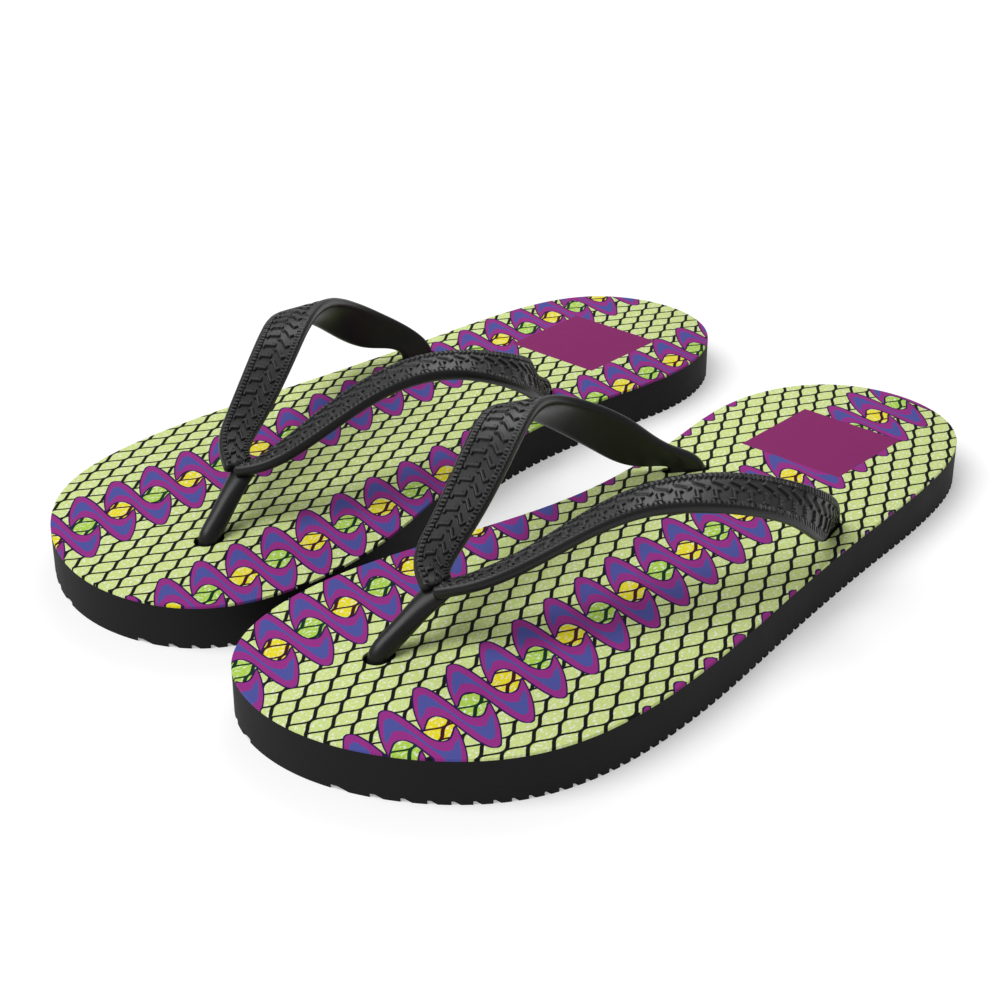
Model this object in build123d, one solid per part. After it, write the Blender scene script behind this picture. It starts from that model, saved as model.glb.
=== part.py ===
from build123d import *
import os

# A pair of printed thong sandals, side by side as they stand on a floor.
# +Z is up, the toes point to -Y, and each sandal is drawn in its own plan frame:
# X runs from the inner side of the foot (-) to the outer side (+), Y from toe (-) to heel (+).
# The left sandal is placed as drawn and the right one is its mirror image.
# All lengths are millimetres.

# Sole
SOLE_LENGTH = 270.0
RUBBER_TOP = 12.6
COVER_THICKNESS = 0.8
COVER_TOP = RUBBER_TOP + COVER_THICKNESS
INNER_SIDE = [(-40.5, -123.5), (-52.6, -92), (-45.5, -42), (-34.5, 5), (-36, 60), (-38.5, 97), (-23.5, 127)]
OUTER_SIDE = [(26.5, 124), (39.5, 92), (43.5, 50), (49, -5), (54, -60), (45, -104), (18.5, -128)]
HEEL_END = (1, 135)
TOE_END = (-12, -135)

# Tread: ribs straight across the underside
TREAD_PITCH = 3.6
TREAD_GROOVE = 1.5
TREAD_DEPTH = 1.0

# Line across the ball of the foot where the sole bends
BEND_Y = -35.0

# Strap holes: a round-ended slot through the sole over a wider recess for the plug
PLUG_RECESS_DEPTH = 4.0
PLUG_THICKNESS = 3.0
FIT_GAP = 0.25
TOE_HOLE_AT = (-13.0, -97.0)
TOE_POST_WIDTH = 5.8
TOE_POST_DEPTH = 6.4
TOE_PLUG_DIAMETER = 17.0
STEM_WIDTH = 15.0
STEM_THICKNESS = 3.4
SIDE_PLUG_LENGTH = 22.0
SIDE_PLUG_WIDTH = 10.0
OUTER_ANCHOR_AT = (35.0, 39.0)
INNER_ANCHOR_AT = (-20.0, 43.5)
OUTER_TURN = 12.0
INNER_TURN = -38.0

# Strap arms: the two long edges of each ribbon, from the junction to the footbed
STRAP_THICKNESS = 3.4
ARM_STATIONS = 14
OUTER_FRONT_EDGE = [(-1, -81, 30.5), (10.5, -68, 36), (27, -40, 46.5), (36, -27, 46), (47.5, 3, 33), (43, 22, 20)]
OUTER_REAR_EDGE = [(-6, -74, 29), (2, -61, 33), (15, -33, 45), (23.5, -19, 48), (39, 10, 41.5), (40, 30, 30)]
INNER_FRONT_EDGE = [
    (-15, -81, 30.5), (-23.5, -68, 36), (-34.5, -40, 48.5), (-40.5, -27, 49.5), (-46, 3, 36), (-38, 20, 23),
    (-29.5, 31, 16.7),
]
INNER_REAR_EDGE = [
    (-10, -74, 29), (-13, -62, 34.5), (-21, -34.5, 47), (-27, -21, 50), (-35.5, 8, 44), (-27, 26, 33),
    (-20.5, 38, 22.5),
]

# Toe post: sections from the cover up to the junction, as (x, y, z, width, depth)
POST_SECTIONS = [
    (-13.0, -97.0, COVER_TOP, 5.8, 6.4), (-12.3, -93.5, 16.8, 6.0, 6.2),
    (-10.8, -87.5, 21.2, 6.4, 5.8), (-9.4, -82.0, 24.8, 7.4, 4.4),
]
POST_LEAN = 40.0

# Where the two sandals stand
PAIR_SPACING = 107.5
PAIR_STAGGER = 12.7


def sole_plan():
    """Outline of the sole, centred on its own length."""
    points = [TOE_END] + INNER_SIDE + [HEEL_END] + OUTER_SIDE
    face = make_face(Spline(*points, periodic=True))
    length = face.bounding_box().size.Y
    face = scale(face, by=SOLE_LENGTH / length)
    return Pos(0, -face.bounding_box().center().Y) * face


def slot_prism(centre, length, width, turn, low, high):
    """Upright round-ended bar whose long side lies along Y, turned by an angle."""
    plan = Rot(0, 0, turn + 90) * SlotOverall(length, width)
    return Pos(centre[0], centre[1], low) * extrude(plan, high - low)


def disc(centre, diameter, low, high):
    return Pos(centre[0], centre[1], low) * extrude(Circle(diameter / 2), high - low)


def strap_passages():
    """Everything that is cut out of the sole for the strap."""
    top = COVER_TOP + 1
    cut = slot_prism(TOE_HOLE_AT, TOE_POST_DEPTH + 2 * FIT_GAP, TOE_POST_WIDTH + 2 * FIT_GAP, 0, -1, top)
    cut += disc(TOE_HOLE_AT, TOE_PLUG_DIAMETER + 2 * FIT_GAP, -1, PLUG_RECESS_DEPTH)
    for centre, turn in ((OUTER_ANCHOR_AT, OUTER_TURN), (INNER_ANCHOR_AT, INNER_TURN)):
        stem_length = STEM_WIDTH + 2 * FIT_GAP
        cut += slot_prism(centre, stem_length, STEM_THICKNESS + 2 * FIT_GAP, turn, -1, top)
        plug_length = SIDE_PLUG_LENGTH + 2 * FIT_GAP
        cut += slot_prism(centre, plug_length, SIDE_PLUG_WIDTH + 2 * FIT_GAP, turn, -1, PLUG_RECESS_DEPTH)
    return cut


def tread_grooves():
    half = SOLE_LENGTH / 2
    count = int(SOLE_LENGTH / TREAD_PITCH) + 1
    start = BEND_Y - TREAD_PITCH * round((half + BEND_Y) / TREAD_PITCH)
    groove = Box(SOLE_LENGTH, TREAD_GROOVE, 2 * TREAD_DEPTH)
    return [Pos(0, start + i * TREAD_PITCH, 0) * groove for i in range(count)]


def half_space(front):
    """Block that holds everything in front of, or behind, the bending line."""
    side = -1 if front else 1
    return Pos(0, BEND_Y + side * SOLE_LENGTH / 2, 0) * Box(SOLE_LENGTH, SOLE_LENGTH, SOLE_LENGTH)


def toe_post():
    """Bar from its plug up through the toe hole, leaning back to the junction."""
    x, y = TOE_HOLE_AT
    stem = extrude(Ellipse(TOE_POST_WIDTH / 2, TOE_POST_DEPTH / 2), COVER_TOP - PLUG_THICKNESS)
    top = POST_SECTIONS[-1][2]
    sections = []
    for px, py, pz, width, depth in POST_SECTIONS:
        lean = POST_LEAN * (pz - COVER_TOP) / (top - COVER_TOP)
        sections.append(Pos(px, py, pz) * Rot(-lean, 0, 0) * Ellipse(width / 2, depth / 2))
    return Pos(x, y, PLUG_THICKNESS) * stem + loft(sections)


def ribbon_section(front, rear, normal):
    lift = normal * (STRAP_THICKNESS / 2)
    return Wire.make_polygon([front - lift, rear - lift, rear + lift, front + lift], close=True)


def strap_arm(front_points, rear_points, anchor, turn):
    """Ribbon from the junction down into its side hole."""
    along = Vector(0, 1, 0).rotate(Axis.Z, turn)
    across = Vector(1, 0, 0).rotate(Axis.Z, turn)
    if anchor[0] < 0:
        across = across * -1
    centre = Vector(anchor[0], anchor[1], COVER_TOP + 1.0)
    reach = STEM_WIDTH / 2 - STEM_THICKNESS / 2
    ends = [centre - along * reach, centre + along * reach]
    front = Spline(*front_points, ends[0])
    rear = Spline(*rear_points, ends[1])
    wires = []
    for i in range(ARM_STATIONS):
        u = i / ARM_STATIONS
        f = front @ u
        r = rear @ u
        tangent = (front % u) + (rear % u)
        normal = tangent.cross(r - f).normalized()
        if anchor[0] < 0:
            normal = normal * -1
        wires.append(ribbon_section(f, r, normal))
    wires.append(ribbon_section(ends[0], ends[1], across))
    down = Vector(0, 0, COVER_TOP + 1.0 - PLUG_THICKNESS)
    wires.append(ribbon_section(ends[0] - down, ends[1] - down, across))
    return Solid.make_loft(wires, ruled=True)


def side_plug(centre, turn):
    return slot_prism(centre, SIDE_PLUG_LENGTH, SIDE_PLUG_WIDTH, turn, TREAD_DEPTH, PLUG_THICKNESS)


def sandal():
    """Named solids of one sandal, in its own plan frame."""
    plan = sole_plan()
    cut = strap_passages()
    rubber = extrude(plan, RUBBER_TOP) - cut - tread_grooves()
    cover = Pos(0, 0, RUBBER_TOP) * extrude(plan, COVER_THICKNESS) - cut
    return {
        "sole_fore": rubber & half_space(True),
        "sole_rear": rubber & half_space(False),
        "footbed_fore": cover & half_space(True),
        "footbed_rear": cover & half_space(False),
        "toe_post": toe_post(),
        "outer_strap": strap_arm(OUTER_FRONT_EDGE, OUTER_REAR_EDGE, OUTER_ANCHOR_AT, OUTER_TURN),
        "inner_strap": strap_arm(INNER_FRONT_EDGE, INNER_REAR_EDGE, INNER_ANCHOR_AT, INNER_TURN),
        "toe_plug": disc(TOE_HOLE_AT, TOE_PLUG_DIAMETER, TREAD_DEPTH, PLUG_THICKNESS),
        "outer_plug": side_plug(OUTER_ANCHOR_AT, OUTER_TURN),
        "inner_plug": side_plug(INNER_ANCHOR_AT, INNER_TURN),
    }


os.makedirs("parts", exist_ok=True)
for name, shape in sandal().items():
    left = Pos(PAIR_SPACING / 2, -PAIR_STAGGER / 2, 0) * shape
    right = Pos(-PAIR_SPACING / 2, PAIR_STAGGER / 2, 0) * mirror(shape, about=Plane.YZ)
    export_step(left, f"parts/left_{name}.step")
    export_step(right, f"parts/right_{name}.step")
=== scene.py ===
import math

import bmesh
import bpy
import numpy as np
from bpy.props import FloatProperty, FloatVectorProperty, PointerProperty
from mathutils import Matrix, Vector


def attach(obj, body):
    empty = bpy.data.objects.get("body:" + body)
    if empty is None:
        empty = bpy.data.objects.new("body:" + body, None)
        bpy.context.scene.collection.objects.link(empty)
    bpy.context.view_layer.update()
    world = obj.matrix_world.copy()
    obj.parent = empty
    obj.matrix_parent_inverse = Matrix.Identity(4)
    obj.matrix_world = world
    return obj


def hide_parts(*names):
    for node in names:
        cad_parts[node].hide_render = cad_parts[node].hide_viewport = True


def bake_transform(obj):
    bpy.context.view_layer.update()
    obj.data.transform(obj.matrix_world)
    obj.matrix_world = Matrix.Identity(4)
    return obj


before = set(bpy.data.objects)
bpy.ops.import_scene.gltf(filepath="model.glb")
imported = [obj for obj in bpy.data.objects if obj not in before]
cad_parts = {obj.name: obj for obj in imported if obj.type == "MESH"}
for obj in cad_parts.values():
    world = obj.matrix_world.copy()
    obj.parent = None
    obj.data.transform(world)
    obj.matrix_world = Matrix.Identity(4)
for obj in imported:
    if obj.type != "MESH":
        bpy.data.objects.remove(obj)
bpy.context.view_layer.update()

bl_info = {
    "name": "Thong sandals",
    "version": (1, 0, 0),
    "blender": (4, 5, 0),
    "location": "View3D > Sidebar > Sandals",
    "description": "Makes a pair of thong sandals with a printed cloth footbed and a moulded strap",
    "category": "Add Mesh",
}

# All lengths are millimetres until a point is placed; a sandal's plan frame has X from the
# inner side of the foot (-) to the outer side (+) and Y from the toe (-) to the heel (+).
MM = 0.001

# Sole, as in the CAD
SOLE_LENGTH = 270.0
RUBBER_TOP = 12.6
COVER_TOP = 13.4
INNER_SIDE = [(-40.5, -123.5), (-52.6, -92), (-45.5, -42), (-34.5, 5), (-36, 60), (-38.5, 97), (-23.5, 127)]
OUTER_SIDE = [(26.5, 124), (39.5, 92), (43.5, 50), (49, -5), (54, -60), (45, -104), (18.5, -128)]
HEEL_END = (1, 135)
TOE_END = (-12, -135)
OUTLINE_STEPS = 22
TREAD_PITCH = 3.6
TREAD_GROOVE = 1.5
TREAD_DEPTH = 1.0
BEND_Y = -35.0

# Strap holes
TOE_HOLE_AT = (-13.0, -97.0)
TOE_HOLE_WIDTH = 7.4
TOE_HOLE_LENGTH = 9.4
OUTER_ANCHOR_AT = (35.0, 39.0)
INNER_ANCHOR_AT = (-20.0, 43.5)
OUTER_TURN = 12.0
INNER_TURN = -38.0
SIDE_HOLE_LENGTH = 15.5
SIDE_HOLE_WIDTH = 3.9
PLUG_TOP = 3.0
PLUG_RECESS_TOP = 4.0
TOE_PLUG_DIAMETER = 17.0
SIDE_PLUG_LENGTH = 22.0
SIDE_PLUG_WIDTH = 10.0
FIT_GAP = 0.25

# Strap arms: their two long edges from the junction to the footbed
STRAP_THICKNESS = 3.4
STEM_REACH = 5.8
OUTER_FRONT_EDGE = [(-7.5, -84.5, 28.4), (-1, -81, 30.5), (10.5, -68, 36), (27, -40, 46.5), (36, -27, 46),
                    (47.5, 3, 33), (43, 22, 20)]
OUTER_REAR_EDGE = [(-7.5, -74, 27.6), (-5, -73, 29), (2, -61, 33), (15, -33, 45), (23.5, -19, 48),
                   (39, 10, 41.5), (40, 30, 30)]
INNER_FRONT_EDGE = [(-8.5, -84.5, 28.6), (-15, -81, 30.5), (-23.5, -68, 36), (-34.5, -40, 48.5),
                    (-40.5, -27, 49.5), (-46, 3, 36), (-38, 20, 23), (-29.5, 31, 16.7)]
INNER_REAR_EDGE = [(-8.5, -74, 27.8), (-10, -73, 29), (-13, -62, 34.5), (-21, -34.5, 47), (-27, -21, 50),
                   (-35.5, 8, 44), (-27, 26, 33), (-20.5, 38, 22.5)]
STATION_STEP = 0.22
FACE_STEPS = 66
SIDE_STEPS = 8

# Pattern moulded into the strap's outer face
HOOK_PITCH = 5.2
HOOK_BAR = 3.9
HOOK_TIP = 0.95
HOOK_HALF_WIDTH = 0.4
HOOK_DEPTH = 0.6
HOOK_ROWS = ((2.5, 100.0, 0.0), (-2.2, 38.0, 0.5))
ROPE_PITCH = 1.45
ROPE_HALF_WIDTH = 0.36
ROPE_LENGTH = 1.6
WALL_SOFTNESS = 0.24
SMOOTH_SHADE = 0.62

# Toe post, as (x, y, z, width, depth)
POST_SECTIONS = [
    (-13.0, -97.0, 3.0, 5.8, 6.4), (-13.0, -97.0, 9.0, 5.8, 6.4), (-13.0, -97.0, 13.4, 5.8, 6.4),
    (-12.3, -93.5, 16.8, 6.0, 6.2), (-10.8, -87.5, 21.2, 6.4, 5.8), (-9.4, -82.0, 25.2, 7.4, 4.8),
    (-8.4, -78.0, 27.2, 8.0, 3.6), (-8.2, -74.5, 27.8, 7.0, 2.0),
]

# Where each sandal stands: hand, X and Y of its plan frame
PLACES = {"left": (1, 53.75, -6.35), "right": (-1, -53.75, 6.35)}

# Where the cloth of each cover was cut from the printed roll: lean, and a yellow ball's place
CUTS = {"left": (0.083, 12.2, 2.5), "right": (0.018, 34.6, 9.0)}
ROLL_STRETCH = 2.8e-6
ROLL_SCALE = 0.969
CLOTH_UNIT = 100.0

# Plain panel at the heel: its centre and half its sides
PANEL_AT = (0.2, 87.5)
PANEL_HALF = (18.0, 17.6)

# Balls in the print: half across and half along the roll
BALL_HALF = (5.2, 4.9)

# Stage
WINDOW_SPREAD = 50
WINDOW_AZIMUTH = -30
WINDOW_ELEVATION = 58
SKY_STRENGTH = 0.28
FLOOR_GLOW = 0.36


# ---------------------------------------------------------------- shapes in numbers

def place(side, x, y, z):
    hand, ox, oy = PLACES[side]
    return Vector(((hand * x + ox) * MM, (y + oy) * MM, z * MM))


def closed_spline(points, steps):
    """Smooth closed line through the points, with the same number of steps in each span."""
    pts = np.array(points, float)
    n = len(pts)
    chord = np.linalg.norm(np.roll(pts, -1, 0) - pts, axis=1)
    system = np.zeros((n, n))
    known = np.zeros((n, 2))
    for i in range(n):
        before, after = chord[i - 1], chord[i]
        system[i, i - 1] += before
        system[i, i] += 2 * (before + after)
        system[i, (i + 1) % n] += after
        known[i] = 6 * ((pts[(i + 1) % n] - pts[i]) / after - (pts[i] - pts[i - 1]) / before)
    bend = np.linalg.solve(system, known)
    line = []
    for i in range(n):
        j = (i + 1) % n
        for k in range(steps):
            b = k / steps
            a = 1 - b
            line.append(a * pts[i] + b * pts[j]
                        + ((a**3 - a) * bend[i] + (b**3 - b) * bend[j]) * chord[i]**2 / 6)
    return np.array(line)


def open_spline(points, count):
    """Smooth open line through the points, at equal distances along it, and its length.

    Columns after the first three follow the line without counting towards distance.
    """
    pts = np.array(points, float)
    n = len(pts)
    chord = np.linalg.norm(np.diff(pts[:, :3], axis=0), axis=1)
    system = np.eye(n)
    known = np.zeros(pts.shape)
    for i in range(1, n - 1):
        system[i, i - 1:i + 2] = [chord[i - 1], 2 * (chord[i - 1] + chord[i]), chord[i]]
        known[i] = 6 * ((pts[i + 1] - pts[i]) / chord[i] - (pts[i] - pts[i - 1]) / chord[i - 1])
    bend = np.linalg.solve(system, known)
    dense = []
    for i in range(n - 1):
        for b in np.linspace(0, 1, 40, endpoint=False):
            a = 1 - b
            dense.append(a * pts[i] + b * pts[i + 1]
                         + ((a**3 - a) * bend[i] + (b**3 - b) * bend[i + 1]) * chord[i]**2 / 6)
    dense.append(pts[-1])
    dense = np.array(dense)
    gone = distance_along(dense[:, :3])
    at = np.linspace(0, gone[-1], count)
    return np.stack([np.interp(at, gone, dense[:, k]) for k in range(pts.shape[1])], axis=1), gone[-1]


def distance_along(line):
    return np.concatenate([[0], np.cumsum(np.linalg.norm(np.diff(line, axis=0), axis=1))])


def sole_outline():
    line = closed_spline([TOE_END] + INNER_SIDE + [HEEL_END] + OUTER_SIDE, OUTLINE_STEPS)
    line *= SOLE_LENGTH / (line[:, 1].max() - line[:, 1].min())
    line[:, 1] -= (line[:, 1].max() + line[:, 1].min()) / 2
    return line


def step_up(x):
    x = np.clip(x, 0, 1)
    return x * x * (3 - 2 * x)


# ---------------------------------------------------------------- meshes

def new_piece(name, bm, smooth_angle=35):
    bmesh.ops.recalc_face_normals(bm, faces=bm.faces)
    mesh = bpy.data.meshes.new(name)
    bm.to_mesh(mesh)
    bm.free()
    mesh.shade_smooth()
    mesh.set_sharp_from_angle(angle=math.radians(smooth_angle))
    piece = bpy.data.objects.new(name, mesh)
    bpy.context.scene.collection.objects.link(piece)
    return piece


def keep_rest_place(piece):
    """Stores each vertex's place at rest, so that grain stays put when the piece bends."""
    mesh = piece.data
    co = np.zeros(len(mesh.vertices) * 3, np.float32)
    mesh.vertices.foreach_get("co", co)
    attribute = mesh.attributes.new("rest_place", "FLOAT_VECTOR", "POINT")
    attribute.data.foreach_set("vector", co)


def striped_plan(side, level):
    """The sole's plan as one flat face, cut across at every edge of a tread groove."""
    bm = bmesh.new()
    ring = [bm.verts.new(place(side, x, y, level)) for x, y in sole_outline()]
    bm.faces.new(ring)
    half = SOLE_LENGTH / 2
    count = int(SOLE_LENGTH / TREAD_PITCH) + 1
    start = BEND_Y - TREAD_PITCH * round((half + BEND_Y) / TREAD_PITCH)
    for i in range(count):
        for edge in (-TREAD_GROOVE / 2, TREAD_GROOVE / 2):
            y = start + i * TREAD_PITCH + edge
            if abs(y) < half - 1:
                geometry = bm.verts[:] + bm.edges[:] + bm.faces[:]
                bmesh.ops.bisect_plane(bm, geom=geometry, dist=1e-7, plane_co=place(side, 0, y, 0),
                                       plane_no=(0, 1, 0))
    bm.verts.ensure_lookup_table()
    return bm, start


def pulled_down(bm, faces, depth, keep=False):
    result = bmesh.ops.extrude_face_region(bm, geom=faces, use_keep_orig=keep)
    moved = [g for g in result["geom"] if isinstance(g, bmesh.types.BMVert)]
    bmesh.ops.translate(bm, verts=moved, vec=(0, 0, -depth * MM))
    return [g for g in result["geom"] if isinstance(g, bmesh.types.BMFace)]


def slot_bar(side, centre, length, width, turn, low, high, rim=0.0):
    """Upright round-ended bar whose long side lies along Y, turned by an angle."""
    hand = PLACES[side][0]
    bm = bmesh.new()
    bmesh.ops.create_circle(bm, cap_ends=True, segments=40, radius=width / 2 * MM)
    reach = max(length - width, 0) / 2 * MM
    for vert in bm.verts:
        vert.co.y += math.copysign(reach, vert.co.y) if abs(vert.co.y) > 1e-7 else 0
    bmesh.ops.rotate(bm, verts=bm.verts, cent=(0, 0, 0),
                     matrix=_turned(hand * turn))
    bmesh.ops.translate(bm, verts=bm.verts, vec=place(side, centre[0], centre[1], high))
    pulled_down(bm, bm.faces[:], high - low, keep=True)
    if rim:
        sharp = [e for e in bm.edges if e.is_manifold and e.calc_face_angle() > 1.0]
        bmesh.ops.bevel(bm, geom=sharp, offset=rim * MM, segments=3, profile=0.5, affect="EDGES", material=-1)
    return bm


def _turned(degrees):
    return Matrix.Rotation(math.radians(degrees), 3, "Z")


def cut_away(piece, cutters):
    """Takes the cutters' shapes out of the piece for good."""
    made = []
    for i, bm in enumerate(cutters):
        cutter = new_piece(f"cutter_{i}", bm)
        modifier = piece.modifiers.new(f"cut_{i}", "BOOLEAN")
        modifier.object = cutter
        modifier.solver = "EXACT"
        made.append(cutter)
    evaluated = piece.evaluated_get(bpy.context.evaluated_depsgraph_get())
    mesh = bpy.data.meshes.new_from_object(evaluated)
    piece.modifiers.clear()
    piece.data = mesh
    for cutter in made:
        bpy.data.objects.remove(cutter)
    bm = bmesh.new()
    bm.from_mesh(mesh)
    bmesh.ops.remove_doubles(bm, verts=bm.verts, dist=2e-6)
    bm.to_mesh(mesh)
    bm.free()
    mesh.shade_smooth()
    mesh.set_sharp_from_angle(angle=math.radians(35))


def passages(side, low):
    """The three strap holes, as bars to take away."""
    bars = [slot_bar(side, TOE_HOLE_AT, TOE_HOLE_LENGTH, TOE_HOLE_WIDTH, 0, low, COVER_TOP + 1)]
    for centre, turn in ((OUTER_ANCHOR_AT, OUTER_TURN), (INNER_ANCHOR_AT, INNER_TURN)):
        bars.append(slot_bar(side, centre, SIDE_HOLE_LENGTH, SIDE_HOLE_WIDTH, turn, low, COVER_TOP + 1))
    return bars


def recesses(side):
    wide = TOE_PLUG_DIAMETER + 2 * FIT_GAP
    bars = [slot_bar(side, TOE_HOLE_AT, wide, wide, 0, -1, PLUG_RECESS_TOP)]
    for centre, turn in ((OUTER_ANCHOR_AT, OUTER_TURN), (INNER_ANCHOR_AT, INNER_TURN)):
        bars.append(slot_bar(side, centre, SIDE_PLUG_LENGTH + 2 * FIT_GAP, SIDE_PLUG_WIDTH + 2 * FIT_GAP,
                             turn, -1, PLUG_RECESS_TOP))
    return bars


def bend_with_sole(piece):
    """Bakes the piece's place into its mesh."""
    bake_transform(piece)


def make_sole(side):
    bm, start = striped_plan(side, RUBBER_TOP)
    low = pulled_down(bm, bm.faces[:], RUBBER_TOP - TREAD_DEPTH, keep=True)
    ribs = []
    for face in low:
        if face.calc_area() and abs(face.normal.z) > 0.9:
            y = face.calc_center_bounds().y / MM - PLACES[side][2]
            off = (y - start + TREAD_PITCH / 2) % TREAD_PITCH - TREAD_PITCH / 2
            if abs(off) > TREAD_GROOVE / 2:
                ribs.append(face)
    pulled_down(bm, ribs, TREAD_DEPTH)
    piece = new_piece(f"{side}_sole", bm)
    cut_away(piece, passages(side, -1) + recesses(side))
    keep_rest_place(piece)
    bend_with_sole(piece)
    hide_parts(f"{side}_sole_fore", f"{side}_sole_rear")
    piece.data.materials.append(sole_rubber())
    return piece


def make_cover(side):
    bm, _ = striped_plan(side, COVER_TOP)
    pulled_down(bm, bm.faces[:], COVER_TOP - RUBBER_TOP, keep=True)
    rim = [e for e in bm.edges if e.is_manifold and e.calc_face_angle() > 1.2
           and e.verts[0].co.z > (COVER_TOP - 0.1) * MM]
    bmesh.ops.bevel(bm, geom=rim, offset=0.35 * MM, segments=2, profile=0.5, affect="EDGES", material=-1)
    piece = new_piece(f"{side}_footbed_cover", bm)
    cut_away(piece, passages(side, RUBBER_TOP - 1))
    lean, column_x, ball_y = CUTS[side]
    hand, ox, oy = PLACES[side]
    roll = piece.data.uv_layers.new(name="cloth_roll")
    plan = piece.data.uv_layers.new(name="cover_plan")
    norm = math.hypot(1, lean)
    for loop in piece.data.loops:
        co = piece.data.vertices[loop.vertex_index].co
        x, y = co.x / MM - ox, co.y / MM - oy
        p = (x - column_x + lean * (y - ball_y)) / norm
        q = (y - ball_y - lean * (x - column_x)) / norm
        q *= (1 + ROLL_STRETCH * q * q) * ROLL_SCALE
        roll.data[loop.index].uv = (p / CLOTH_UNIT, q / CLOTH_UNIT)
        plan.data[loop.index].uv = (hand * x / CLOTH_UNIT, y / CLOTH_UNIT)
    bend_with_sole(piece)
    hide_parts(f"{side}_footbed_fore", f"{side}_footbed_rear")
    piece.data.materials.append(printed_cloth())
    outline = sole_outline()
    return piece


def wrapped_surface(name, rows, columns, points, groove_shade_and_smooth_dark=None):
    """A closed skin: a grid whose columns go round and whose two ends are closed."""
    bm = bmesh.new()
    shade = bm.verts.layers.float.new("groove_shade_and_smooth_dark")
    bmesh.ops.create_grid(bm, x_segments=rows - 1, y_segments=columns, size=1)
    for vert in bm.verts:
        i = int(round((vert.co.x + 1) / 2 * (rows - 1)))
        j = int(round((vert.co.y + 1) / 2 * columns)) % columns
        vert.co = points[i, j]
        # each point keeps its share of painted shade in the pattern's grooves, or else the darker share given
        # to smooth parts
        vert[shade] = SMOOTH_SHADE if groove_shade_and_smooth_dark is None else groove_shade_and_smooth_dark[i, j]
    bmesh.ops.remove_doubles(bm, verts=bm.verts, dist=1e-7)
    bmesh.ops.holes_fill(bm, edges=[e for e in bm.edges if e.is_boundary], sides=0)
    return new_piece(name, bm, 60)


def arm_profile():
    """Points round the strap's section: share across, thickness share, and outward share of the face."""
    rows = []
    for k in range(FACE_STEPS + 1):
        rows.append(("face", -1 + 2 * k / FACE_STEPS, 0))
    for k in range(1, SIDE_STEPS):
        rows.append(("front", 0, math.pi / 2 - math.pi * k / SIDE_STEPS))
    for k in range(13):
        rows.append(("back", 1 - 2 * k / 12, 0))
    for k in range(1, SIDE_STEPS):
        rows.append(("rear", 0, -math.pi / 2 - math.pi * k / SIDE_STEPS))
    return rows


def near_line(u, v, a, b):
    """Distance of points from a straight stroke between two ends."""
    ax, ay = a
    dx, dy = b[0] - ax, b[1] - ay
    t = np.clip(((u - ax) * dx + (v - ay) * dy) / (dx * dx + dy * dy), 0, 1)
    return np.hypot(u - ax - t * dx, v - ay - t * dy)


def hook_relief(u, v, half):
    """Height of the moulded pattern and its painted groove shade, as shares: two rows of hooks between ribbed
    edges.
    """
    v = v * (6.6 / half)
    best = np.full(u.shape, 99.0)
    for centre, turn, phase in HOOK_ROWS:
        cu = math.cos(math.radians(turn))
        cv = math.sin(math.radians(turn))
        half_bar = HOOK_BAR / 2
        ends = ((-cu * half_bar, -cv * half_bar), (cu * half_bar, cv * half_bar))
        tip = (-cv * HOOK_TIP, cu * HOOK_TIP)
        shifted = u + phase * HOOK_PITCH
        for k in (-1, 0, 1):
            local = (shifted + HOOK_PITCH / 2) % HOOK_PITCH - HOOK_PITCH / 2 + k * HOOK_PITCH
            w = v - centre
            best = np.minimum(best, near_line(local, w, *ends))
            best = np.minimum(best, near_line(local, w, ends[1], (ends[1][0] + tip[0], ends[1][1] + tip[1])))
            best = np.minimum(best, near_line(local, w, ends[0], (ends[0][0] - tip[0], ends[0][1] - tip[1])))
    hooks = step_up((HOOK_HALF_WIDTH + WALL_SOFTNESS - best) / WALL_SOFTNESS)
    rope_u = abs((u % ROPE_PITCH) - ROPE_PITCH / 2)
    rope_v = 6.6 - abs(v)
    in_rope = step_up((ROPE_LENGTH - rope_v) / WALL_SOFTNESS)
    ropes = step_up((ROPE_HALF_WIDTH + WALL_SOFTNESS - rope_u) / WALL_SOFTNESS) * in_rope
    foot = HOOK_HALF_WIDTH + WALL_SOFTNESS
    # painted shade: a dark band along the foot of each hook's wall, and in the gaps between the rope ribs
    line = np.clip(1.7 - 1.7 * abs(best - foot) / (WALL_SOFTNESS + 0.08), 0, 1) * (1 - in_rope)
    return np.maximum(hooks * (1 - in_rope), ropes), np.maximum(line, (1 - ropes) * in_rope)


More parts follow.
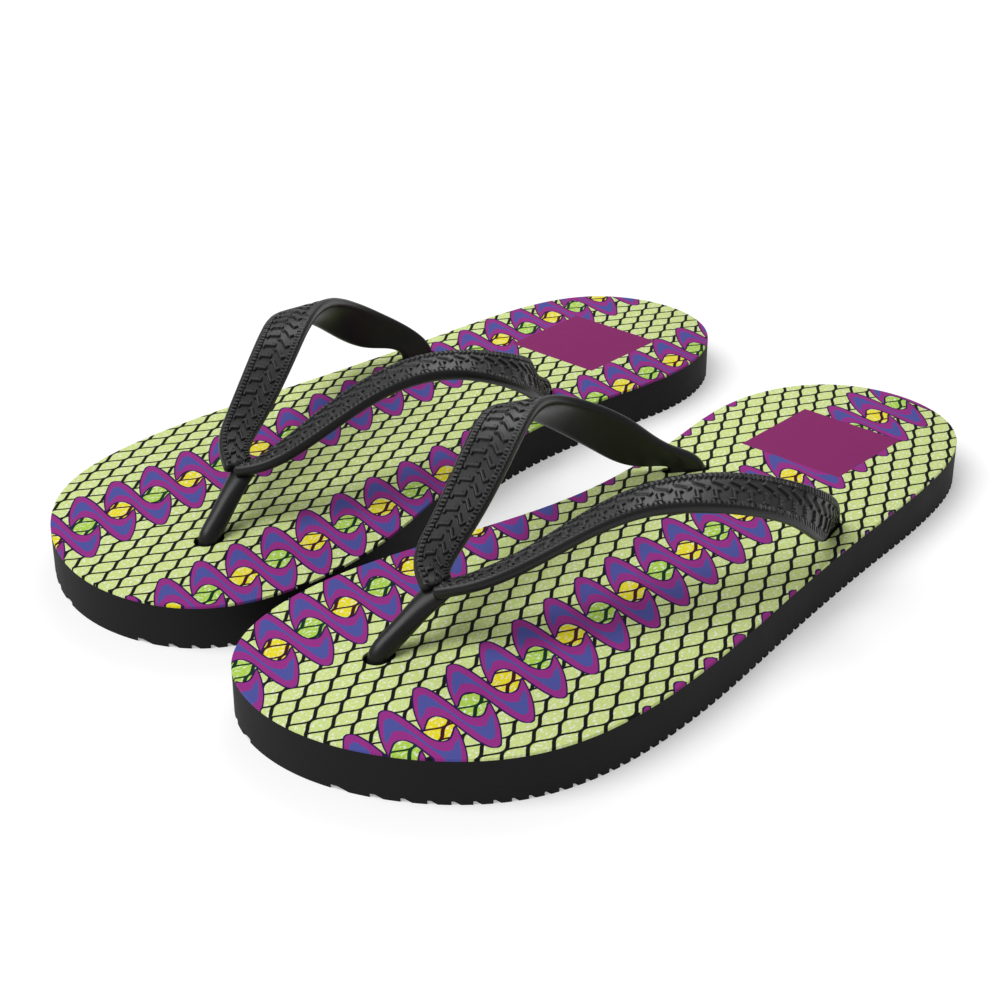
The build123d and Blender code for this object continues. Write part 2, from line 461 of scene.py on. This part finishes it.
def make_arm(side, kind):
    hand = PLACES[side][0]
    outer = kind == "outer"
    anchor = OUTER_ANCHOR_AT if outer else INNER_ANCHOR_AT
    turn = math.radians(OUTER_TURN if outer else INNER_TURN)
    along = (-math.sin(turn), math.cos(turn))
    tail = [[(anchor[0] + s * STEM_REACH * along[0], anchor[1] + s * STEM_REACH * along[1], z)
             for z in (COVER_TOP + 1, 8.0, PLUG_TOP)] for s in (-1, 1)]
    fronts = (OUTER_FRONT_EDGE if outer else INNER_FRONT_EDGE) + tail[0]
    rears = (OUTER_REAR_EDGE if outer else INNER_REAR_EDGE) + tail[1]
    fronts, rears = np.array(fronts, float), np.array(rears, float)
    paired = np.hstack([(fronts + rears) / 2, (fronts - rears) / 2])
    rows = int(open_spline(paired, 50)[1] / STATION_STEP)
    paired = open_spline(paired, rows)[0]
    middle, across = paired[:, :3], paired[:, 3:].copy()
    tangent = np.gradient(middle, axis=0)
    tangent /= np.linalg.norm(tangent, axis=1)[:, None]
    half = np.linalg.norm(across, axis=1)
    across /= half[:, None]
    outward = np.cross(tangent, across) * (-1 if outer else 1)
    outward /= np.linalg.norm(outward, axis=1)[:, None]
    gone = distance_along(middle)
    nose = np.sqrt(np.clip(1 - (1 - np.clip(gone / 1.6, 0, 1))**2, 0.02, 1))
    fade = step_up((middle[:, 2] - COVER_TOP - 0.5) / 2.0)
    thick = STRAP_THICKNESS / 2
    corner = thick
    profile = arm_profile()
    columns = len(profile)
    points = np.zeros((rows, columns, 3))
    relief = np.zeros((rows, columns))
    groove_shade_and_smooth_dark = np.full((rows, columns), SMOOTH_SHADE)
    for j, (part, share, angle) in enumerate(profile):
        flat = half * nose - corner * 0.75
        if part == "face":
            a = share * flat
            # painted shade in the pattern's grooves on the face, blending to the smooth parts' darker share
            # where the face comes down to the cover
            raised, painted_dark = hook_relief(gone, share * half, half)
            relief[:, j] = raised * fade
            groove_shade_and_smooth_dark[:, j] = painted_dark * fade + SMOOTH_SHADE * (1 - fade)
            b = thick + 0.25 * (1 - share**2) + HOOK_DEPTH * (relief[:, j] - 1)
        elif part == "back":
            a = share * flat
            b = np.full(rows, -thick)
        elif part == "front":
            a = flat + corner * 0.75 * math.cos(angle)
            b = np.full(rows, thick * math.sin(angle))
        else:
            a = -flat - corner * 0.75 * abs(math.cos(angle))
            b = np.full(rows, thick * math.sin(angle))
        points[:, j] = middle + across * a[:, None] + outward * (b * nose)[:, None]
    points[:, :, 0] = hand * points[:, :, 0] + PLACES[side][1]
    points[:, :, 1] += PLACES[side][2]
    piece = wrapped_surface(f"{side}_{kind}_arm", rows, columns, points * MM, groove_shade_and_smooth_dark)
    keep_rest_place(piece)
    bend_with_sole(piece)
    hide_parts(f"{side}_{kind}_strap")
    piece.data.materials.append(strap_rubber())
    return piece


def make_post(side):
    hand = PLACES[side][0]
    rows, columns = 90, 40
    line = open_spline(POST_SECTIONS, rows)[0]
    tangent = np.gradient(line[:, :3], axis=0)
    tangent /= np.linalg.norm(tangent, axis=1)[:, None]
    wide = np.tile(np.array([1.0, 0.0, 0.0]), (rows, 1))
    wide -= tangent * np.sum(wide * tangent, axis=1)[:, None]
    wide /= np.linalg.norm(wide, axis=1)[:, None]
    deep = np.cross(tangent, wide)
    points = np.zeros((rows, columns, 3))
    for j in range(columns):
        angle = 2 * math.pi * j / columns
        seam = 0.12 if j in (0, columns // 2) else 0.0
        points[:, j] = (line[:, :3] + wide * ((line[:, 3] / 2 + seam) * math.cos(angle))[:, None]
                        + deep * (line[:, 4] / 2 * math.sin(angle))[:, None])
    points[:, :, 0] = hand * points[:, :, 0] + PLACES[side][1]
    points[:, :, 1] += PLACES[side][2]
    piece = wrapped_surface(f"{side}_toe_post_moulding", rows, columns, points * MM)
    keep_rest_place(piece)
    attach(piece, f"{side}_fore")
    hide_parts(f"{side}_toe_post")
    piece.data.materials.append(strap_rubber())
    return piece


def make_plugs(side):
    rows = (("toe", "fore", TOE_HOLE_AT, TOE_PLUG_DIAMETER, TOE_PLUG_DIAMETER, 0),
            ("outer", "rear", OUTER_ANCHOR_AT, SIDE_PLUG_LENGTH, SIDE_PLUG_WIDTH, OUTER_TURN),
            ("inner", "rear", INNER_ANCHOR_AT, SIDE_PLUG_LENGTH, SIDE_PLUG_WIDTH, INNER_TURN))
    for kind, half, centre, length, width, turn in rows:
        bm = slot_bar(side, centre, length, width, turn, TREAD_DEPTH, PLUG_TOP, rim=0.5)
        piece = new_piece(f"{side}_{kind}_plug_head", bm)
        keep_rest_place(piece)
        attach(piece, f"{side}_{half}")
        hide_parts(f"{side}_{kind}_plug")
        piece.data.materials.append(strap_rubber())


# ---------------------------------------------------------------- materials

class Wiring:
    """Short ways to add nodes to one node tree."""

    def __init__(self, tree):
        self.tree = tree

    def add(self, kind, **settings):
        node = self.tree.nodes.new(kind)
        for name, value in settings.items():
            setattr(node, name, value)
        return node

    def feed(self, socket, value):
        if isinstance(value, bpy.types.NodeSocket):
            self.tree.links.new(value, socket)
        else:
            socket.default_value = value

    def math(self, operation, a, b=0.0, c=0.0, clamp=False):
        node = self.add("ShaderNodeMath", operation=operation, use_clamp=clamp)
        for socket, value in zip(node.inputs, (a, b, c)):
            self.feed(socket, value)
        return node.outputs[0]

    def below(self, value, limit, soft=0.1):
        """1 where value is under the limit, with a soft edge."""
        return self.math("MULTIPLY_ADD", self.math("SUBTRACT", limit, value), 1 / soft, 0.5, clamp=True)

    def mix(self, share, a, b):
        node = self.add("ShaderNodeMix", data_type="RGBA")
        self.feed(node.inputs[0], share)
        self.feed(node.inputs[6], a)
        self.feed(node.inputs[7], b)
        return node.outputs[2]

    def noise(self, vector, scale, detail=2.0, output=0):
        node = self.add("ShaderNodeTexNoise")
        self.feed(node.inputs["Vector"], vector)
        node.inputs["Scale"].default_value = scale
        node.inputs["Detail"].default_value = detail
        return node.outputs[output]

    def curve(self, value, points):
        node = self.add("ShaderNodeFloatCurve")
        self.feed(node.inputs["Value"], value)
        line = node.mapping.curves[0]
        for x, y in points[1:-1]:
            line.points.new(x, y)
        line.points[0].location = points[0]
        line.points[-1].location = points[-1]
        node.mapping.update()
        return node.outputs[0]


def colour(red, green, blue):
    """An everyday 0-255 colour as the shader wants it."""
    def linear(value):
        value /= 255
        return value / 12.92 if value <= 0.04045 else ((value + 0.055) / 1.055)**2.4
    return (linear(red), linear(green), linear(blue), 1.0)


def new_group(name, inputs, outputs):
    tree = bpy.data.node_groups.new(name, "ShaderNodeTree")
    for socket_name, kind, default in inputs:
        socket = tree.interface.new_socket(name=socket_name, in_out="INPUT", socket_type=kind)
        if default is not None:
            socket.default_value = default
    for socket_name, kind in outputs:
        tree.interface.new_socket(name=socket_name, in_out="OUTPUT", socket_type=kind)
    wiring = Wiring(tree)
    start = wiring.add("NodeGroupInput")
    end = wiring.add("NodeGroupOutput")
    return tree, wiring, start, end


def placed(wiring, tree):
    node = wiring.add("ShaderNodeGroup")
    node.node_tree = tree
    return node


# The ribbon's near edge and its core's near edge, across its two slanting axes
RIBBON_EDGE = [(-10.4, -11.5), (-9.6, -13.4), (-8.7, -14.0), (-7.4, -13.6), (-6.0, -12.3), (-4.6, -10.7),
               (-1.7, -6.5), (0.6, -2.9), (2.5, -0.5), (4.8, 0.6), (6.8, -0.2), (8.1, -3.3), (8.8, -5.9),
               (10.4, -7.4)]
CORE_EDGE = [(-9.4, -7.0), (-8.7, -9.9), (-7.6, -10.6), (-6.5, -9.7), (-3.0, -4.9), (0.0, -0.7), (2.0, 2.3),
             (4.7, 4.5), (7.0, 4.3), (8.0, 1.5), (9.4, -1.6)]
EDGE_SPAN = 11.0
EDGE_LOW = -16.0
EDGE_RANGE = 24.0
RIBBON_REACH = (10.45, 6.5)
CORE_REACH = (9.4, 3.5)
REACH_CURVE = 0.0105
LINE_WIDTH = 0.42
BALL_PITCH = 14.3
COLUMN_SHIFT = 3.6


def edge_points(points):
    return [((t + EDGE_SPAN) / (2 * EDGE_SPAN), (s - EDGE_LOW) / EDGE_RANGE) for t, s in points]


def ribbon_group():
    """One slanting S ribbon about a centre: masks of its body, its dark line and its core."""
    name = "wavy ribbon"
    if name in bpy.data.node_groups:
        return bpy.data.node_groups[name]
    flat = "NodeSocketFloat"
    tree, w, start, end = new_group(name, [("Across", flat, 0.0), ("Along", flat, 0.0)],
                                    [("Body", flat), ("Line", flat), ("Core", flat)])
    p, q = start.outputs[0], start.outputs[1]
    t = w.math("ADD", w.math("MULTIPLY", p, 0.76), w.math("MULTIPLY", q, 0.65))
    s = w.math("SUBTRACT", w.math("MULTIPLY", p, 0.65), w.math("MULTIPLY", q, 0.76))

    def inside(edge, reach, grow):
        masks = []
        for shift in ((0.0,) if grow == 0 else (-grow, 0.0, grow)):
            sides = []
            for sign in (1.0, -1.0):
                x = w.math("MULTIPLY_ADD", w.math("MULTIPLY_ADD", t, sign, shift), 1 / (2 * EDGE_SPAN), 0.5)
                y = w.math("MULTIPLY_ADD", w.curve(x, edge_points(edge)), EDGE_RANGE, EDGE_LOW - grow)
                sides.append(w.below(y, w.math("MULTIPLY", s, sign), 0.12))
            masks.append(w.math("MULTIPLY", sides[0], sides[1]))
        mask = masks[0]
        for other in masks[1:]:
            mask = w.math("MAXIMUM", mask, other)
        farthest, middle = reach
        v = w.math("SUBTRACT", w.math("MULTIPLY", s, w.math("SIGN", t)), middle)
        limit = w.math("MULTIPLY_ADD", w.math("MULTIPLY", v, v), -REACH_CURVE, farthest + grow)
        return w.math("MULTIPLY", mask, w.below(w.math("ABSOLUTE", t), limit, 0.12))

    body = inside(RIBBON_EDGE, RIBBON_REACH, 0)
    w.feed(end.inputs[0], body)
    w.feed(end.inputs[1], inside(RIBBON_EDGE, RIBBON_REACH, LINE_WIDTH))
    w.feed(end.inputs[2], inside(CORE_EDGE, CORE_REACH, 0))
    return tree


def net_group():
    """A net of wavy strands that touch in turn, with lens-shaped gaps between them."""
    name = "wavy net"
    if name in bpy.data.node_groups:
        return bpy.data.node_groups[name]
    flat = "NodeSocketFloat"
    tree, w, start, end = new_group(
        name, [("Across", flat, 0.0), ("Along", flat, 0.0), ("Mesh width", flat, 6.0),
               ("Mesh height", flat, 13.2), ("Strand", flat, 0.46)], [("Net", flat)])
    p, q = start.outputs[0], start.outputs[1]
    width, height, strand = start.outputs[2], start.outputs[3], start.outputs[4]
    phase = w.math("MULTIPLY", w.math("DIVIDE", q, height), 2 * math.pi)
    sway = w.math("MULTIPLY", w.math("COSINE", phase), w.math("MULTIPLY", width, 0.25))
    steep = w.math("MULTIPLY", w.math("SINE", phase), 0.72)
    slant = w.math("DIVIDE", 1.0, w.math("SQRT", w.math("MULTIPLY_ADD", steep, steep, 1.0)))
    half = w.math("MULTIPLY", width, 0.5)
    masks = []
    for sign, offset in ((1.0, 0.0), (-1.0, 0.5)):
        x = w.math("SUBTRACT", p, w.math("MULTIPLY", sway, sign))
        x = w.math("MULTIPLY_ADD", width, offset, x)
        off = w.math("SUBTRACT", w.math("FLOORED_MODULO", x, width), half)
        off = w.math("SUBTRACT", half, w.math("ABSOLUTE", off))
        thin = w.math("MULTIPLY_ADD", w.math("MULTIPLY", steep, sign), 0.08, strand)
        masks.append(w.below(w.math("MULTIPLY", off, slant), thin, 0.14))
    w.feed(end.inputs[0], w.math("MAXIMUM", masks[0], masks[1]))
    return tree


def grain_group():
    """Fine moulded grain: a height and a slow change of shade, from a place in metres."""
    name = "rubber grain"
    if name in bpy.data.node_groups:
        return bpy.data.node_groups[name]
    flat = "NodeSocketFloat"
    tree, w, start, end = new_group(name, [("Place", "NodeSocketVector", None), ("Coarseness", flat, 1.0)],
                                    [("Height", flat), ("Shade", flat)])
    scaled = w.add("ShaderNodeVectorMath", operation="SCALE")
    w.feed(scaled.inputs[0], start.outputs[0])
    w.feed(scaled.inputs["Scale"], start.outputs[1])
    fine = w.noise(scaled.outputs[0], 2600, 3)
    slow = w.noise(scaled.outputs[0], 90, 3)
    w.feed(end.inputs[0], w.math("MULTIPLY_ADD", slow, 0.3, fine))
    w.feed(end.inputs[1], slow)
    return tree


def rubber_material(name, low, high, roughness, bump, coarseness, specular, painted_dark=None):
    if name in bpy.data.materials:
        return bpy.data.materials[name]
    material = bpy.data.materials.new(name)
    material.use_nodes = True
    material.node_tree.nodes.clear()
    w = Wiring(material.node_tree)
    shader = w.add("ShaderNodeBsdfPrincipled")
    out = w.add("ShaderNodeOutputMaterial")
    w.feed(out.inputs[0], shader.outputs[0])
    rest = w.add("ShaderNodeAttribute", attribute_name="rest_place")
    grain = placed(w, grain_group())
    w.feed(grain.inputs[0], rest.outputs["Vector"])
    grain.inputs[1].default_value = coarseness
    paint = w.mix(grain.outputs[1], low, high)
    # painted shade: the colour is mixed towards the dark colour by the stored share, in the pattern's grooves
    # and on the smooth parts
    if painted_dark:
        groove_shade_and_smooth_dark = w.add("ShaderNodeAttribute", attribute_name="groove_shade_and_smooth_dark")
        paint = w.mix(groove_shade_and_smooth_dark.outputs["Fac"], paint, painted_dark)
    w.feed(shader.inputs["Base Color"], paint)
    w.feed(shader.inputs["Roughness"], w.math("MULTIPLY_ADD", grain.outputs[1], 0.16, roughness - 0.08))
    shader.inputs["Specular IOR Level"].default_value = specular
    height = w.add("ShaderNodeBump")
    height.inputs["Strength"].default_value = bump
    height.inputs["Distance"].default_value = 0.0001
    w.feed(height.inputs["Height"], grain.outputs[0])
    w.feed(shader.inputs["Normal"], height.outputs[0])
    return material


def sole_rubber():
    return rubber_material("foam_black", colour(14, 14, 14), colour(24, 24, 24), 0.75, 0.8, 0.8, 0.2)


def strap_rubber():
    # black is the colour of the painted shade in the grooves and of the darkening on smooth parts
    return rubber_material("strap_black", colour(44, 44, 45), colour(54, 54, 55), 0.36, 0.25, 1.2, 0.3,
                           colour(0, 0, 0))


def printed_cloth():
    name = "printed_cloth"
    if name in bpy.data.materials:
        return bpy.data.materials[name]
    material = bpy.data.materials.new(name)
    material.use_nodes = True
    material.node_tree.nodes.clear()
    w = Wiring(material.node_tree)
    shader = w.add("ShaderNodeBsdfPrincipled")
    out = w.add("ShaderNodeOutputMaterial")
    w.feed(out.inputs[0], shader.outputs[0])

    def millimetres(layer):
        uv = w.add("ShaderNodeUVMap", uv_map=layer)
        scaled = w.add("ShaderNodeVectorMath", operation="SCALE")
        w.feed(scaled.inputs[0], uv.outputs[0])
        scaled.inputs["Scale"].default_value = CLOTH_UNIT
        split = w.add("ShaderNodeSeparateXYZ")
        w.feed(split.inputs[0], scaled.outputs[0])
        return scaled.outputs[0], split.outputs[0], split.outputs[1]

    roll, p, q = millimetres("cloth_roll")
    _, plan_x, plan_y = millimetres("cover_plan")

    # ground: pale green with white flecks drawn out along the roll
    stretched = w.add("ShaderNodeMapping")
    w.feed(stretched.inputs["Vector"], roll)
    stretched.inputs["Rotation"].default_value = (0, 0, 0.5)
    stretched.inputs["Scale"].default_value = (1.0, 0.55, 1.0)
    fleck_noise = w.noise(stretched.outputs[0], 1.35, 4)
    flecks = w.math("SUBTRACT", 1.0, w.below(fleck_noise, 0.58, 0.08))
    thread = w.noise(stretched.outputs[0], 4.5, 2)
    ground = w.mix(thread, tuned("ground_dark"), tuned("ground_light"))

    net = placed(w, net_group())
    w.feed(net.inputs[0], w.math("MULTIPLY_ADD", q, -0.036, p))
    w.feed(net.inputs[1], q)

    # ball and ribbon columns on the roll
    def in_column(centre, phase):
        across = w.math("SUBTRACT", p, centre)
        along = w.math("SUBTRACT", q, phase)
        number = w.math("FLOOR", w.math("MULTIPLY_ADD", along, 1 / BALL_PITCH, 0.5))
        ball_along = w.math("MULTIPLY_ADD", number, -BALL_PITCH, along)
        odd = w.math("FLOORED_MODULO", number, 2.0)
        radius = w.math("SQRT", w.math("ADD",
                        w.math("POWER", w.math("ABSOLUTE", w.math("DIVIDE", across, BALL_HALF[0])), 2.0),
                        w.math("POWER", w.math("ABSOLUTE", w.math("DIVIDE", ball_along, BALL_HALF[1])), 2.0)))
        ball = w.below(radius, 1.0, 0.03)
        body = line = core = None
        for shift in (-BALL_PITCH / 2, BALL_PITCH / 2):
            ribbon = placed(w, ribbon_group())
            w.feed(ribbon.inputs[0], across)
            w.feed(ribbon.inputs[1], w.math("ADD", ball_along, shift))
            if body is None:
                body, line, core = ribbon.outputs
            else:
                body = w.math("MAXIMUM", body, ribbon.outputs[0])
                line = w.math("MAXIMUM", line, ribbon.outputs[1])
                core = w.math("MAXIMUM", core, ribbon.outputs[2])
        near = w.below(w.math("ABSOLUTE", across), 20.0, 0.1)
        return (w.math("MULTIPLY", ball, near), odd, body, w.math("MULTIPLY", line, near), core)

    columns = [in_column(0.0, 0.0), in_column(-57.0, COLUMN_SHIFT), in_column(51.0, 0.0)]
    ball = odd_ball = line = body = core = 0.0
    for c_ball, c_odd, c_body, c_line, c_core in columns:
        ball = w.math("MAXIMUM", ball, c_ball)
        odd_ball = w.math("MAXIMUM", odd_ball, w.math("MULTIPLY", c_ball, c_odd))
        line = w.math("MAXIMUM", line, c_line)
        body = w.math("MAXIMUM", body, c_body)
        core = w.math("MAXIMUM", core, c_core)

    paint = w.mix(ball, ground, tuned("yellow"))
    paint = w.mix(odd_ball, paint, tuned("green"))
    paint = w.mix(w.math("MULTIPLY", flecks, 0.8), paint, tuned("fleck"))
    net_colour = w.mix(ball, tuned("net"), tuned("net_on_yellow"))
    net_colour = w.mix(odd_ball, net_colour, tuned("net_on_green"))
    paint = w.mix(net.outputs[0], paint, net_colour)
    paint = w.mix(line, paint, tuned("outline"))
    paint = w.mix(body, paint, tuned("magenta"))
    paint = w.mix(w.math("MULTIPLY", core, body), paint, tuned("blue"))
    panel = w.math("MULTIPLY",
                   w.below(w.math("ABSOLUTE", w.math("SUBTRACT", plan_x, PANEL_AT[0])), PANEL_HALF[0], 0.1),
                   w.below(w.math("ABSOLUTE", w.math("SUBTRACT", plan_y, PANEL_AT[1])), PANEL_HALF[1], 0.1))
    paint = w.mix(panel, paint, tuned("label"))

    # cloth: a fine plain weave
    warp = w.math("SINE", w.math("MULTIPLY", p, 2 * math.pi / 0.55))
    weft = w.math("SINE", w.math("MULTIPLY", q, 2 * math.pi / 0.55))
    weave = w.math("MULTIPLY", warp, weft)
    uneven = w.noise(roll, 1.4, 3)
    shade = w.math("MULTIPLY_ADD", weave, 0.035, w.math("MULTIPLY_ADD", uneven, 0.10, 0.05), clamp=True)
    paint = w.mix(shade, paint, (0.02, 0.02, 0.02, 1.0))
    w.feed(shader.inputs["Base Color"], paint)
    w.feed(shader.inputs["Roughness"], w.math("MULTIPLY_ADD", weave, 0.05, 0.72))
    shader.inputs["Specular IOR Level"].default_value = 0.06
    height = w.add("ShaderNodeBump")
    height.inputs["Strength"].default_value = 0.5
    height.inputs["Distance"].default_value = 0.0001
    w.feed(height.inputs["Height"], w.math("MULTIPLY_ADD", uneven, 0.6, weave))
    w.feed(shader.inputs["Normal"], height.outputs[0])
    return material


def tuned(name):
    """The print's colours, from the panel where a user may change them."""
    settings = bpy.context.scene.sandal_print
    chosen = {"ground_light": settings.ground, "magenta": settings.ribbon, "blue": settings.core,
              "yellow": settings.first_ball, "green": settings.second_ball, "label": settings.label}
    if name in chosen:
        return (*chosen[name], 1.0)
    fixed = {"ground_dark": colour(198, 217, 124), "fleck": colour(244, 247, 236), "net": colour(18, 18, 20),
             "net_on_yellow": colour(66, 14, 26), "net_on_green": colour(12, 52, 34),
             "outline": colour(36, 22, 78)}
    return fixed[name]


# ---------------------------------------------------------------- add-on

def swatch(label, text, red, green, blue):
    return FloatVectorProperty(name=label, description=text, subtype="COLOR", size=3, min=0, max=1,
                               default=colour(red, green, blue)[:3])


class SandalPrint(bpy.types.PropertyGroup):
    ground: swatch("Ground", "Colour of the cloth between the net's strands", 222, 238, 158)
    ribbon: swatch("Ribbon", "Colour of the wavy ribbons", 153, 48, 136)
    core: swatch("Ribbon core", "Colour inside the wavy ribbons", 80, 84, 160)
    first_ball: swatch("First ball", "Colour of every second ball", 240, 225, 30)
    second_ball: swatch("Second ball", "Colour of the balls between", 176, 214, 80)
    label: swatch("Heel panel", "Colour of the plain panel at the heel", 137, 42, 105)


class SandalStage(bpy.types.PropertyGroup):
    floor_size: FloatProperty(name="Floor", description="Width of the pale floor", default=6.0, unit="LENGTH")
    key_power: FloatProperty(name="Key light", description="Strength of the large soft light", default=2.6)


class SANDALS_OT_soles(bpy.types.Operator):
    """Make both rubber soles"""
    bl_idname = "sandals.soles"
    bl_label = "Soles"

    def execute(self, context):
        for side in PLACES:
            make_sole(side)
        return {"FINISHED"}


class SANDALS_OT_covers(bpy.types.Operator):
    """Make both printed cloth covers"""
    bl_idname = "sandals.covers"
    bl_label = "Footbed covers"

    def execute(self, context):
        for side in PLACES:
            make_cover(side)
        return {"FINISHED"}


class SANDALS_OT_straps(bpy.types.Operator):
    """Make the strap arms and toe posts"""
    bl_idname = "sandals.straps"
    bl_label = "Straps"

    def execute(self, context):
        for side in PLACES:
            make_arm(side, "outer")
            make_arm(side, "inner")
            make_post(side)
        return {"FINISHED"}


class SANDALS_OT_plugs(bpy.types.Operator):
    """Make the plugs under the soles"""
    bl_idname = "sandals.plugs"
    bl_label = "Plugs"

    def execute(self, context):
        for side in PLACES:
            make_plugs(side)
        return {"FINISHED"}


class SANDALS_OT_stage(bpy.types.Operator):
    """Make the floor, lights and camera"""
    bl_idname = "sandals.stage"
    bl_label = "Stage"

    def execute(self, context):
        make_stage(context.scene.sandal_stage)
        return {"FINISHED"}


class SANDALS_PT_panel(bpy.types.Panel):
    bl_label = "Sandals"
    bl_idname = "SANDALS_PT_panel"
    bl_space_type = "VIEW_3D"
    bl_region_type = "UI"
    bl_category = "Sandals"

    def draw(self, context):
        layout = self.layout
        for name in ("soles", "covers", "straps", "plugs", "stage"):
            layout.operator(f"sandals.{name}")
        for group in (context.scene.sandal_print, context.scene.sandal_stage):
            for key in group.__annotations__:
                layout.prop(group, key)


CAMERA_TARGET = Vector((-0.01235, 0.0030, 0.0))
CAMERA_AZIMUTH = 41.8
CAMERA_ELEVATION = 27.2
CAMERA_DISTANCE = 0.626
CAMERA_LENS = 72.0


def towards(azimuth, elevation):
    a, e = math.radians(azimuth), math.radians(elevation)
    return Vector((math.sin(a) * math.cos(e), -math.cos(a) * math.cos(e), math.sin(e)))


def soft_light(name, azimuth, elevation, distance, size, power):
    data = bpy.data.lights.new(name, "AREA")
    data.shape = "DISK"
    data.size = size
    data.energy = power
    light = bpy.data.objects.new(name, data)
    direction = towards(azimuth, elevation)
    light.location = direction * distance
    light.rotation_euler = (-direction).to_track_quat("-Z", "Y").to_euler()
    bpy.context.scene.collection.objects.link(light)


def make_stage(settings):
    bm = bmesh.new()
    bmesh.ops.create_grid(bm, x_segments=4, y_segments=4, size=settings.floor_size / 2)
    floor = new_piece("floor", bm)
    material = bpy.data.materials.new("pale_floor")
    material.use_nodes = True
    shader = material.node_tree.nodes["Principled BSDF"]
    shader.inputs["Base Color"].default_value = (0.65, 0.65, 0.65, 1)
    shader.inputs["Emission Color"].default_value = (1, 1, 1, 1)
    shader.inputs["Emission Strength"].default_value = FLOOR_GLOW
    shader.inputs["Roughness"].default_value = 0.9
    shader.inputs["Specular IOR Level"].default_value = 0.1
    floor.data.materials.append(material)
    sun = bpy.data.lights.new("window", "SUN")
    sun.energy = settings.key_power
    sun.angle = math.radians(WINDOW_SPREAD)
    window = bpy.data.objects.new("window", sun)
    window.rotation_euler = (-towards(WINDOW_AZIMUTH, WINDOW_ELEVATION)).to_track_quat("-Z", "Y").to_euler()
    bpy.context.scene.collection.objects.link(window)
    soft_light("back_light", 215, 38, 2.2, 1.2, 10.0)
    bpy.context.scene.view_settings.view_transform = "Standard"
    world = bpy.data.worlds.new("studio")
    world.use_nodes = True
    background = world.node_tree.nodes["Background"]
    background.inputs[0].default_value = (1, 1, 1, 1)
    background.inputs[1].default_value = SKY_STRENGTH
    bpy.context.scene.world = world
    camera = bpy.data.objects.new("camera", bpy.data.cameras.new("camera"))
    camera.data.lens = CAMERA_LENS
    camera.data.sensor_width = 36.0
    direction = towards(CAMERA_AZIMUTH, CAMERA_ELEVATION)
    camera.location = CAMERA_TARGET + direction * CAMERA_DISTANCE
    camera.rotation_euler = (-direction).to_track_quat("-Z", "Y").to_euler()
    camera.data.clip_start = 0.01
    camera.data.clip_end = 50
    bpy.context.scene.collection.objects.link(camera)
    bpy.context.scene.camera = camera


CLASSES = (SandalPrint, SandalStage, SANDALS_OT_soles, SANDALS_OT_covers, SANDALS_OT_straps,
           SANDALS_OT_plugs, SANDALS_OT_stage, SANDALS_PT_panel)


def register():
    for item in CLASSES:
        bpy.utils.register_class(item)
    bpy.types.Scene.sandal_print = PointerProperty(type=SandalPrint)
    bpy.types.Scene.sandal_stage = PointerProperty(type=SandalStage)


def unregister():
    del bpy.types.Scene.sandal_stage
    del bpy.types.Scene.sandal_print
    for item in reversed(CLASSES):
        bpy.utils.unregister_class(item)


def main():
    register()
    bpy.ops.sandals.stage()
    bpy.ops.sandals.soles()
    bpy.ops.sandals.covers()
    bpy.ops.sandals.straps()
    bpy.ops.sandals.plugs()


if __name__ == "__main__":
    main()
